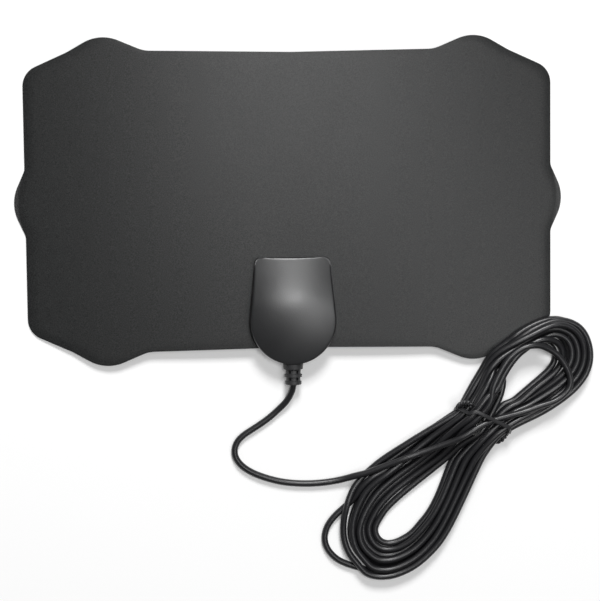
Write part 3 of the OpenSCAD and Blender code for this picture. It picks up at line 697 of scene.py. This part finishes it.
@dataclass
class WireTie:
    """The coated wire tie round the strands: a flat band, and two ends twisted together.

    Places are given as across the bundle, along it and up, from the tie's middle on the table.
    """

    place: tuple[float, float] = (115.0, -130.0)
    turn: float = 333.0
    width: float = 2.4
    thick: float = 0.8
    clear: float = 0.1
    lift: float = 1.2          # how far the band lifts the strands off the table
    lift_run: tuple[float, float] = (1.5, 14.0)  # how far along the bundle that reaches, and its slope
    bow: float = 5.0           # how far the band's top bows along the bundle
    reach: float = 1.8         # strands within this distance carry the band
    angles: int = 240          # directions in which the band's touching point is sought
    spacing: float = 0.7       # distance of the band's rings
    evened: int = 3            # rings to each side that the band's path is averaged over
    band_corners: int = 16
    wire_corners: int = 12
    wire_spacing: float = 0.35
    wire: float = 0.9          # radius of one twisted wire
    pitch: float = 4.6         # length of one turn of the twist
    knob: tuple[Point, ...] = (
        (-15.4, -0.4, 5.0), (-17.2, 1.2, 7.2), (-17.8, 3.4, 9.6), (-16.4, 5.8, 11.8), (-13.6, 7.4, 13.6),
        (-11.4, 6.4, 14.4))
    tail: tuple[Point, ...] = (
        (15.4, 0.6, 5.4), (16.9, -1.0, 3.8), (17.0, -3.4, 2.4), (16.0, -5.6, 1.7), (14.2, -7.6, 1.6))

    def axes(self) -> np.ndarray:
        """The directions across, along and up, one a row."""
        a = math.radians(self.turn)
        return np.array([[math.cos(a), math.sin(a), 0.0], [-math.sin(a), math.cos(a), 0.0], [0.0, 0.0, 1.0]])

    def world(self, local: np.ndarray) -> np.ndarray:
        """Points of the tie's own axes, in the shared frame."""
        return np.array([*self.place, 0.0]) + local @ self.axes()

    def hold(self, strands: np.ndarray, radii: np.ndarray) -> np.ndarray:
        """The band's path: the tightest line round all that lies in its plane. In each direction it
        touches the strand that reaches furthest, at that strand's radius from its middle.

        Args:
            strands: Points of what is held.
            radii: How thick it is at each point.

        Returns:
            Points along the closed path, in the tie's own axes.
        """
        local = (strands - [*self.place, 0.0]) @ self.axes().T
        angle = np.linspace(0, 2 * np.pi, self.angles, endpoint=False)
        way = np.column_stack([np.cos(angle), np.sin(angle)])
        bow = self.bow * np.clip(way[:, 1], 0, 1) ** 2
        reach = local[:, 0] * way[:, :1] + local[:, 2] * way[:, 1:] + radii
        reach = np.where(np.abs(local[:, 1] - bow[:, None]) < self.reach, reach, -np.inf)
        best = reach.argmax(axis=1)
        touch = local[best][:, [0, 2]] + (radii[best] + self.clear)[:, None] * way
        path = np.column_stack([touch[:, 0], bow, touch[:, 1]])
        path = respaced(np.concatenate([path, path[:1]]), self.spacing)[:-1]
        shifts = range(-self.evened, self.evened + 1)
        return sum(np.roll(path, shift, 0) for shift in shifts) / len(shifts)

    def band(self, path: np.ndarray) -> Surface:
        """The band: a flat oval, (cos a, sin a) with both parts to the power 1/2, carried along the path.

        Args:
            path: The closed path of its inner side.

        Returns:
            The points and the faces.
        """
        along = unit(np.roll(path, -1, 0) - np.roll(path, 1, 0))
        side = unit(np.array([0.0, 1.0, 0.0]) - along * along[:, 1:2])
        out = np.cross(side, along)
        a = np.linspace(0, 2 * np.pi, self.band_corners, endpoint=False)
        flat = np.sign(np.cos(a)) * np.sqrt(np.abs(np.cos(a))) * self.width / 2
        high = np.sign(np.sin(a)) * np.sqrt(np.abs(np.sin(a))) * self.thick / 2 + self.thick / 2
        rings = path[:, None] + side[:, None] * flat[:, None] + out[:, None] * high[:, None]
        faces = [tuple(face) for face in closed_grid(len(path), len(a), True).tolist()]
        return self.world(rings.reshape(-1, 3)), faces

    def twist(self, middle: tuple[Point, ...]) -> Surface:
        """Two wires wound round each other: each runs at its own radius from the middle line, and
        turns once for each pitch.

        Args:
            middle: Points of the middle line.

        Returns:
            The points and the faces.
        """
        line = respaced(curved(np.array(middle), 8), self.wire_spacing)
        along = unit(np.gradient(line, axis=0))
        side = unit(np.cross(along, [0.3, 0.2, 1.0]))
        over = np.cross(side, along)
        turn = arc_length(line) / self.pitch * 2 * np.pi
        points, faces, number = [], [], 0
        for start in (0.0, np.pi):
            a = (turn + start)[:, None]
            wire = line + self.wire * (np.cos(a) * side + np.sin(a) * over)
            ahead = unit(np.gradient(wire, axis=0))
            left = unit(np.cross(ahead, over + 0.3 * along))
            up = np.cross(left, ahead)
            a = np.linspace(0, 2 * np.pi, self.wire_corners, endpoint=False)
            rings = wire[:, None] + self.wire * (np.cos(a)[:, None] * left[:, None]
                                                 + np.sin(a)[:, None] * up[:, None])
            spots, joins = capped(rings, wire[0], wire[-1])
            points.append(spots)
            faces += [tuple(corner + number for corner in face) for face in joins]
            number += len(spots)
        return self.world(np.concatenate(points)), faces

    def build(self, strands: np.ndarray, radii: np.ndarray) -> list[bpy.types.Object]:
        """Make the band and the twisted ends.

        Args:
            strands: Points of what the tie holds.
            radii: How thick it is at each point.

        Returns:
            The pieces.
        """
        coat = SpeckledPlastic("tie_plastic", (0.012, 0.012, 0.013), (0.022, 0.022, 0.024), 0.4, 0.4, 0.01)
        finish = coat.material()
        pieces = [
            new_piece("tie_band", self.band(self.hold(strands, radii)), finish),
            new_piece("tie_knob", self.twist(self.knob), finish),
            new_piece("tie_tail", self.twist(self.tail), finish),
        ]
        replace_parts(pieces[0], "twist_tie")
        return pieces


@dataclass
class AerialPlug:
    """The moulded plug in the bundle: its middle line, and finishes for its CAD nodes."""

    entry: Point = (123.0, -106.0, 7.0)
    turn: float = 241.0
    stations: Steps = (-4.0, 5.0, 22.0, 34.0, 36.0)  # places along it, and its radius at each
    radii: Steps = (3.2, 5.5, 5.5, 4.9, 0.0)
    length: float = 34.0
    radius: float = 5.4
    nodes: tuple[str, ...] = ("plug_grip", "plug_shell", "plug_insulator", "plug_pin")

    def middle(self) -> np.ndarray:
        """The plug's middle line.

        Returns:
            Points along it, a millimetre apart.
        """
        a = math.radians(self.turn)
        along = np.arange(0.0, self.length)[:, None]
        return np.array(self.entry) + along * [math.cos(a), math.sin(a), 0.0]

    def build(self) -> None:
        """Dress its nodes."""
        grip = SpeckledPlastic("grip_plastic", (0.012, 0.012, 0.013), (0.022, 0.022, 0.024), 0.42, 0.6, 0.02)
        metal = BareMetal("plug_metal", Metal.NICKEL).material()
        core = SpeckledPlastic("plug_insulation", (0.82, 0.82, 0.79), (0.88, 0.88, 0.85), 0.4, 0.5, 0.01)
        for node, finish in zip(self.nodes, (grip.material(), metal, core.material(), metal)):
            dress(node, finish)


# The lead and its hank

@dataclass
class CoaxialLead:
    """The coaxial cable: a free stretch over the table, a crossing strand, a top loop and the turns
    of the hank, down to the plug.

    The turns start as lanes between the hank's outer and inner outline. Then the strands settle: each
    bead of the cable sinks, rests on the table, the sheet or another strand, and keeps its curve.
    """

    plug: AerialPlug
    tie: WireTie
    thick: float = 4.0
    length: float = 4000.0
    exit: Point = (0.0, -104.375, 6.3)
    route: tuple[Point, ...] = (
        (0, -104.375, 6.3), (-0.4, -106.975, 5.9), (-1.4, -110, 4.9), (-4.2, -115, 3.6),
        (-8.9, -119.9, 2.5), (-14.2, -124.6, 2), (-19.8, -128.6, 2), (-25.3, -132.1, 2),
        (-30.5, -135.5, 2), (-34.1, -139.2, 2), (-35.8, -143.4, 2), (-35.6, -147.7, 2),
        (-33.6, -151.7, 2), (-29.8, -155.5, 2), (-24.4, -158.8, 2), (-18.1, -161.4, 2),
        (-11.4, -163.5, 2), (-4, -165, 2), (4.2, -165.8, 2), (12.4, -165.9, 2), (20.6, -165.3, 2),
        (28.6, -164, 2),
    )
    crossing: tuple[Point, ...] = (
        (37.4, -161.8, 4), (44.8, -160.1, 6), (58.3, -154.9, 6), (77.3, -147.4, 7), (95.8, -139.8, 9),
        (109.4, -132.1, 11), (120.5, -128.1, 11), (130.9, -125.8, 9), (140.8, -123.6, 8),
        (149.5, -120.7, 8), (158.8, -117.8, 8), (164.9, -113.7, 8), (168.7, -108.8, 8),
        (168.7, -102.7, 8), (165.9, -95.9, 8), (161.2, -89.6, 8), (155.1, -85.2, 8), (148.3, -82.7, 8),
        (141.1, -83.5, 8), (134.8, -86.8, 8), (129.6, -91.6, 8), (125.4, -98.6, 8), (119.8, -109.8, 9),
        (111.5, -122.5, 11),
    )
    # The band of turns, counterclockwise from the tie: a point of the outer and of the inner outline
    band: tuple[tuple[float, float, float, float], ...] = (
        (102, -123, 114, -129), (89, -129.5, 105, -139), (75, -138, 95, -152), (61, -148, 86, -160),
        (49, -156, 76, -168), (39, -164, 66, -176), (33, -174, 58, -183.5), (29, -184, 54, -189),
        (27.5, -193, 51.2, -193.5), (28, -202, 51.3, -197.6), (31.5, -211, 53.2, -201),
        (37.5, -218.5, 56.3, -202.8),
        (43, -224, 60, -203), (54, -226, 64, -201.8), (66, -223, 68.2, -199.3), (77, -217, 72.2, -196),
        (88, -207, 76.5, -190.5), (96, -195, 81.5, -184), (104, -179, 86.5, -174.5),
        (111, -164, 91, -163), (117, -151, 95, -153), (123, -142, 105, -141),
        (128, -137, 116, -131), (141, -131, 124.5, -119.5), (153, -125, 131.5, -116.5),
        (166, -117, 140, -109.5), (175, -109.5, 148, -103), (181.8, -99, 154, -97.5),
        (183, -87, 156.6, -92.6), (179, -76, 156, -88.2), (172, -70, 152.8, -85), (163, -68, 148, -84),
        (153, -71, 143, -85.6), (141, -76.5, 138.6, -89.8), (130, -82, 134.8, -97),
        (121.5, -87.5, 131, -106), (116, -97, 126, -115), (110, -110, 121, -121),
    )
    # Share of the way from the inner to the outer outline that each turn lies at, at eight marks:
    # the tie, the lower loop's left side, left end, bottom and right side, and the upper loop's
    # lower side, right end and left side
    marks: Steps = (0.0, 4.0, 9.0, 14.0, 19.0, 25.0, 28.5, 34.0)
    lanes: tuple[Steps, ...] = (
        (0.1, 0.2, 0.22, 0.2, 0.2, 0.3, 0.3, 0.3),
        (0.5, 0.45, 0.52, 0.5, 0.45, 0.55, 0.75, 0.7),
        (0.8, 0.8, 0.7, 0.82, 0.75, 0.85, 0.9, 0.9),
        (1.0, 1.0, 0.97, 1.0, 1.0, 1.0, 1.0, 1.0),
        (0.3, 0.36, 0.4, 0.36, 0.3, 0.42, 0.6, 0.5),
        (0.6, 0.65, 0.5, 0.68, 0.6, 0.7, 0.82, 0.8),
        (0.7, 0.88, 0.92, 0.92, 0.9, 0.95, 0.98, 0.95),
        (0.9, 0.9, 0.68, 0.75, 0.8, 0.6, 0.45, 0.6),
        (0.0, 0.0, 0.0, 0.0, 0.0, 0.1, 0.1, 0.1),
    )
    # The turn whose loop strays out at the left end: its number, place, half length (both in
    # stations of the band) and how far it goes out
    stray: tuple[int, float, float, float] = (6, 8.8, 3.0, 13.0)
    top: float = 14.0                # height that the last wound strands sink from
    top_room: float = 1.5            # the turns start this far under it
    lead_in: Steps = (14.0, 7.0, 0.0)  # points before the plug that point the cable at it
    first_turn: int = 8              # point of the turns that follows the crossing
    last_turn: float = 5.5           # stations of the band that the last turn leaves out
    # What the strands lie on: the sheet's edge and the arc that it hangs down along
    sheet_top: float = 6.85
    sheet_flat: float = 27.0         # half width of the flat strip
    sheet_arc: float = 1567.0
    sheet_edge: tuple[float, float] = (166.0, -82.0)  # x of its right edge, y of its lower edge
    sheet_corner: tuple[float, float] = (150.0, 0.9)  # x where the cut corner starts, its slope
    sheet_slope: float = 3.0         # width of the ramp at the edge
    # How the strands settle
    bead: float = 3.2                # distance of the beads
    rounds: int = 320
    renew: int = 10                  # rounds between two searches for neighbours
    near: float = 1.7                # beads within this many diameters may touch
    pull: tuple[float, float] = (0.08, 0.05)  # draw to the plan at the start, and how much it fades
    sink: float = 0.16
    contact: float = 0.99            # distance of touching strands, in diameters
    give: float = 0.35               # share of an overlap that one push takes away
    most: float = 0.8                # longest push
    bell: Steps = (0.0625, 0.25, 0.375, 0.25, 0.0625)  # weights that even the moves out
    evenness: float = 0.7
    bend: float = 9.5                # smallest radius that the cable takes
    ceiling: float = 15.0            # height that the tie holds the strands' middle lines under
    still: tuple[int, int] = (8, 5)  # beads that stay at the start and at the end

    def turn_plan(self) -> np.ndarray:
        """The plan of all turns: a point between the inner and the outer outline, whose share of the
        way slides from each turn's lane to the next one's while the turn passes the tie.

        Returns:
            Points x, y along the turns.
        """
        band = np.array(self.band, float)
        outer, inner = curved(band[:, :2], 6, True), curved(band[:, 2:], 6, True)
        count = len(outer)
        width = np.linalg.norm(outer - inner, axis=1)
        margin = np.minimum(self.thick / 2 / width, 0.5)
        marks = np.array(self.marks) / len(self.band)
        shares = np.array(self.lanes).ravel()
        places = (np.arange(len(self.lanes))[:, None] + marks).ravel()
        u = np.arange(count * len(self.lanes)) / count
        share = np.interp(u, places, shares)
        soft = np.hanning(2 * (count // 16) + 1)
        share = np.convolve(np.pad(share, count // 16, mode="edge"), soft / soft.sum(), mode="valid")
        margin, width = np.tile(margin, len(self.lanes)), np.tile(width, len(self.lanes))
        share = share * (1 - 2 * margin) + margin
        number, middle, half, out = self.stray
        away = (u - number) * len(self.band) - middle
        share += np.clip(1 - (away / half) ** 2, 0, None) ** 2 * out / width
        outer, inner = np.tile(outer, (len(self.lanes), 1)), np.tile(inner, (len(self.lanes), 1))
        return inner + (outer - inner) * share[:, None]

    def layout(self) -> np.ndarray:
        """The whole cable before it settles.

        Returns:
            Beads at even distances, from the strain relief to the plug.
        """
        turns = self.turn_plan()
        along = np.linspace(0, 1, len(turns))
        start = self.top - self.top_room
        heights = start - (self.top - self.thick / 2 - self.top_room) * along
        turns = np.column_stack([turns, heights])
        a = math.radians(self.plug.turn)
        back = -np.array([math.cos(a), math.sin(a), 0.0])
        tail = np.array(self.plug.entry) + back * np.array(self.lead_in)[:, None]
        cut = int(len(turns) * (1 - self.last_turn / (len(self.lanes) * len(self.band))))
        crossing = np.array(self.crossing, float)
        crossing[:, 2] = self.top
        line = np.concatenate([np.array(self.route, float), crossing, turns[self.first_turn:cut:4], tail])
        return respaced(curved(line, 6), self.bead)

    def ground(self, points: np.ndarray) -> np.ndarray:
        """Height that the cable's middle has over what lies under it: the table, or the sheet's
        corner, which hangs down along an arc and ends in a short slope.

        Args:
            points: Points x, y.

        Returns:
            The heights.
        """
        x, y = points[:, 0], points[:, 1]
        out = np.maximum(x - self.sheet_flat, 0.0)
        top = self.sheet_top - out * out / (2 * self.sheet_arc)
        right, lower = self.sheet_edge
        cut, slant = self.sheet_corner
        inside = np.minimum((y - lower) / self.sheet_slope, (right - x) / self.sheet_slope)
        inside = np.minimum(inside, ((y - lower) - slant * (x - cut)) / self.sheet_slope)
        a = math.radians(self.tie.turn + 90)
        from_tie = np.abs((x - self.tie.place[0]) * math.cos(a) + (y - self.tie.place[1]) * math.sin(a))
        near, run = self.tie.lift_run
        lift = self.tie.lift * (1 - smoothstep((from_tie - near) / run))
        return np.maximum(np.clip(inside, 0, 1) * np.maximum(top, 0.0), lift) + self.thick / 2

    def beside_plug(self, spot: np.ndarray) -> np.ndarray:
        """How far each bead has to move off the plug, which lies as a cylinder with rounded ends.

        Args:
            spot: The beads.

        Returns:
            The moves, straight out from the plug's middle line and never downwards.
        """
        a = math.radians(self.plug.turn)
        way = spot - np.array(self.plug.entry)
        along = way[:, 0] * math.cos(a) + way[:, 1] * math.sin(a)
        beside = way[:, 1] * math.cos(a) - way[:, 0] * math.sin(a)
        stations = self.plug.stations
        radius = np.interp(along, stations, self.plug.radii) + self.thick / 2
        rise = np.maximum(way[:, 2], 0.3)
        far = np.hypot(beside, rise)
        lack = np.clip(radius - far, 0, 1.2) / np.maximum(far, 0.5)
        lack = lack * (along > stations[0]) * (along < stations[-1])
        sideways = np.column_stack([-math.sin(a) * beside, math.cos(a) * beside])
        return np.column_stack([sideways * lack[:, None], rise * lack])

    def settled(self) -> np.ndarray:
        """The cable at rest. In each round every bead sinks a little and is drawn back to its place in
        the plan, it is pushed off any bead of another strand that is less than a diameter away, half
        of what is missing each, and the moves are evened out along the cable, which keeps it smooth.
        Three beads that make a tighter bend than the cable takes are moved towards one line.

        Returns:
            Beads from the strain relief to the plug.
        """
        start = self.layout()
        spot = start.copy()
        held = np.ones((len(spot), 1))
        held[:self.still[0]] = 0.0
        held[-self.still[1]:] = 0.0
        order = np.arange(len(spot))
        apart = int(3.0 * self.thick / self.bead)
        for step in range(self.rounds):
            if step % self.renew == 0:
                flat = ((spot[:, None, :2] - spot[None, :, :2]) ** 2).sum(axis=2)
                near = (flat < (self.thick * self.near) ** 2) & (order[None, :] - order[:, None] > apart)
                first, second = np.nonzero(near)
            late = step / self.rounds
            spot[:, :2] += (self.pull[0] - self.pull[1] * late) * (start[:, :2] - spot[:, :2]) * held
            spot[:, 2:] -= self.sink * (1 - late) * held
            for _ in range(2):
                way = spot[second] - spot[first]
                far = np.linalg.norm(way, axis=1)
                lack = np.clip(self.thick * self.contact - far, 0, None) * self.give
                push = way / np.maximum(far, 1e-6)[:, None] * lack[:, None]
                moved = np.column_stack([
                    np.bincount(second, push[:, k], len(spot)) - np.bincount(first, push[:, k], len(spot))
                    for k in range(3)])
                spot += np.clip(moved, -self.most, self.most) * held
            spot += self.beside_plug(spot) * held
            moves = spot - start
            moves[:, 2] = spot[:, 2]
            padded = np.pad(moves, ((2, 2), (0, 0)), mode="edge")
            even = sum(weight * padded[k:k + len(spot)] for k, weight in enumerate(self.bell))
            even[:, :2] += start[:, :2]
            spot += self.evenness * (even - spot) * held
            curl = spot[:-2] - 2 * spot[1:-1] + spot[2:]
            size = np.maximum(np.linalg.norm(curl, axis=1, keepdims=True), 1e-6)
            curl *= np.clip(1 - self.bead**2 / self.bend / size, 0, 1) / 6
            spot[1:-1] += 2 * curl * held[1:-1]
            spot[:-2] -= curl * held[:-2]
            spot[2:] -= curl * held[2:]
            low = self.ground(spot[:, :2])
            level = np.maximum(np.minimum(spot[:, 2], self.ceiling), low)
            spot[:, 2] = np.where(held[:, 0] > 0, level, spot[:, 2])
        return spot

    def build(self) -> tuple[bpy.types.Object, np.ndarray]:
        """Make the cable as one curve.

        Returns:
            The cable and the points of its middle line in millimetres.
        """
        line = respaced(curved(self.settled(), 3), 2.0)
        points = line * MM
        data = bpy.data.curves.new("coaxial_cable", "CURVE")
        data.dimensions = "3D"
        data.bevel_depth = self.thick / 2 * MM
        data.bevel_resolution = 3
        data.use_fill_caps = True
        spline = data.splines.new("POLY")
        spline.points.add(len(points) - 1)
        spline.points.foreach_set("co", np.column_stack([points, np.ones(len(points))]).ravel())
        cable = bpy.data.objects.new("coaxial_cable", data)
        bpy.context.scene.collection.objects.link(cable)
        jacket = SpeckledPlastic("cable_jacket", (0.008, 0.008, 0.009), (0.014, 0.014, 0.016), 0.34, 0.5, 0.01)
        data.materials.append(jacket.material())
        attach(cable, BODY)
        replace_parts(cable, "cable_lead", "cable_hank")
        LOG.info("the cable's middle line is %.0f mm long", arc_length(line)[-1])
        return cable, line


@dataclass
class InnerParts:
    """What lies between the films and in the housing, and the strain relief with the cable's end."""

    grain: float = 0.5    # size of the grain of moulded and fired parts

    def build(self) -> None:
        """Dress the nodes."""
        foil = BareMetal("foil", Metal.ALUMINIUM, (0.4, 12.0, 0.4)).material()
        brass = BareMetal("contact_metal", Metal.BRASS, (0.3, 0.3, 2.0)).material()
        copper = BareMetal("copper_wire", Metal.COPPER).material()
        finishes = {
            "radiator_left": foil, "radiator_right": foil,
            "circuit_board": SolderMask("board").material(),
            "contact_left": brass, "contact_right": brass,
            "balun_core": self.moulded("ferrite", (0.03, 0.03, 0.034), (0.07, 0.07, 0.075), 0.6),
            "balun_winding": copper,
            "chip_components": self.moulded("chips", (0.42, 0.33, 0.22), (0.6, 0.5, 0.38), 0.5),
            "strain_relief": self.moulded("relief_rubber", (0.016, 0.016, 0.017), (0.03, 0.03, 0.032), 0.5),
            "cable_tail": self.moulded("tail_jacket", (0.008, 0.008, 0.009), (0.014, 0.014, 0.016), 0.36),
            "cable_braid": BareMetal("braid", Metal.TINNED, (0.25, 0.9, 0.25)).material(),
            "cable_insulation": self.moulded("insulation", (0.82, 0.82, 0.79), (0.88, 0.88, 0.85), 0.4),
            "cable_conductor": copper,
        }
        for node, finish in finishes.items():
            dress(node, finish)

    def moulded(self, name: str, dark: Point, pale: Point, roughness: float) -> bpy.types.Material:
        """A moulded or fired finish with this class's grain."""
        return SpeckledPlastic(name, dark, pale, roughness, self.grain, 0.02).material()


# The picture

@dataclass
class Studio:
    """A white table under soft light from above and behind, and the camera of the photograph."""

    eye: Point = (-77.13, 33.75, 1098.11)
    right: Point = (0.99708, -0.01127, 0.07554)
    up: Point = (0.01722, 0.99676, -0.07852)
    back: Point = (-0.07441, 0.07959, 0.99405)
    focal: float = 109.31
    sensor: float = 36.0
    clip: tuple[float, float] = (0.05, 20.0)
    table: float = 6.0       # half side of the table in metres
    paint: float = 0.8       # how much light the table gives back
    glow: float = 0.16       # what the table adds to its own picture
    dim: float = 0.15        # the world's strength to the pieces
    bright: float = 1.0      # and to the camera
    # Name, place and side in metres, power in watts
    lamps: tuple[tuple[str, Point, float, float], ...] = (
        ("lamp_over", (0.17, 0.32, 2.3), 0.5, 13.5),
        ("lamp_right", (0.9, -0.33, 2.3), 0.8, 9.0),
        ("lamp_far", (0.1, 2.0, 1.9), 0.8, 69.0),
    )

    def camera(self) -> bpy.types.Object:
        """Set the camera at the photograph's place and angle.

        Returns:
            The camera.
        """
        data = bpy.data.cameras.new("camera")
        data.lens = self.focal
        data.sensor_width = self.sensor
        data.clip_start, data.clip_end = self.clip
        camera = bpy.data.objects.new("camera", data)
        bpy.context.scene.collection.objects.link(camera)
        turn = Matrix((self.right, self.up, self.back)).transposed().to_4x4()
        camera.matrix_world = Matrix.Translation([c * MM for c in self.eye]) @ turn
        bpy.context.scene.camera = camera
        return camera

    def floor(self) -> bpy.types.Object:
        """Make the table, which is white to the camera and keeps the shadows.

        Returns:
            The table.
        """
        size = self.table
        mesh = bpy.data.meshes.new("floor")
        mesh.from_pydata([(-size, -size, 0), (size, -size, 0), (size, size, 0), (-size, size, 0)], [],
                         [(0, 1, 2, 3)])
        floor = bpy.data.objects.new("floor", mesh)
        bpy.context.scene.collection.objects.link(floor)
        shader = Shader("table_white")
        shader.put(Base_Color=(self.paint,) * 3 + (1.0,), Roughness=0.9, Specular_IOR_Level=0.0)
        rays = shader.add("ShaderNodeLightPath")
        seen = shader.add("ShaderNodeMath", operation="MAXIMUM")
        shader.link(rays.outputs["Is Camera Ray"], seen.inputs[0])
        shader.link(rays.outputs["Is Glossy Ray"], seen.inputs[1])
        glow = shader.add("ShaderNodeMath", operation="MULTIPLY")
        shader.link(seen.outputs[0], glow.inputs[0])
        glow.inputs[1].default_value = self.glow
        shader.bsdf.inputs["Emission Color"].default_value = (1, 1, 1, 1)
        shader.link(glow.outputs[0], shader.bsdf.inputs["Emission Strength"])
        mesh.materials.append(shader.material)
        return floor

    def lamp(self, name: str, place: Point, size: float, power: float) -> None:
        """A square soft lamp that points at the origin.

        Args:
            name: Its name.
            place: Its place in metres.
            size: Its side in metres.
            power: Its power in watts.
        """
        data = bpy.data.lights.new(name, "AREA")
        data.shape = "SQUARE"
        data.size = size
        data.energy = power
        lamp = bpy.data.objects.new(name, data)
        bpy.context.scene.collection.objects.link(lamp)
        away = unit(np.array(place))
        side = unit(np.cross((0.0, 1.0, 0.001), away))
        over = np.cross(away, side)
        lamp.matrix_world = Matrix.Translation(place) @ Matrix((side, over, away)).transposed().to_4x4()

    def light(self) -> None:
        """The lamps and the world."""
        for lamp in self.lamps:
            self.lamp(*lamp)
        world = bpy.data.worlds.new("world")
        bpy.context.scene.world = world
        world.use_nodes = True
        tree = world.node_tree
        ground = tree.nodes["Background"]
        ground.inputs["Color"].default_value = (1, 1, 1, 1)
        rays = tree.nodes.new("ShaderNodeLightPath")
        level = tree.nodes.new("ShaderNodeMapRange")
        level.inputs["To Min"].default_value = self.dim
        level.inputs["To Max"].default_value = self.bright
        tree.links.new(rays.outputs["Is Camera Ray"], level.inputs["Value"])
        tree.links.new(level.outputs["Result"], ground.inputs["Strength"])

    def build(self) -> None:
        """Set the picture up."""
        self.camera()
        self.floor()
        self.light()
        bpy.context.scene.view_settings.view_transform = "Standard"


def main() -> None:
    """Build the pieces in order and report each."""
    logging.basicConfig(level=logging.INFO, format="%(name)s: %(message)s")
    Studio().build()
    LOG.info("the studio is set up")
    LaminatedSheet().build()
    LOG.info("the sheet's films are made")
    HousingCovers().build()
    LOG.info("the housing is made")
    plug, tie = AerialPlug(), WireTie()
    lead = CoaxialLead(plug, tie)
    cable, line = lead.build()
    plug.build()
    strands = np.concatenate([line, plug.middle()])
    radii = np.concatenate([np.full(len(line), lead.thick / 2), np.full(len(plug.middle()), plug.radius)])
    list(tie.build(strands, radii))
    LOG.info("the lead, the plug and the tie are made")
    InnerParts().build()
    LOG.info("the inner parts are dressed")


if __name__ == "__main__":
    main()
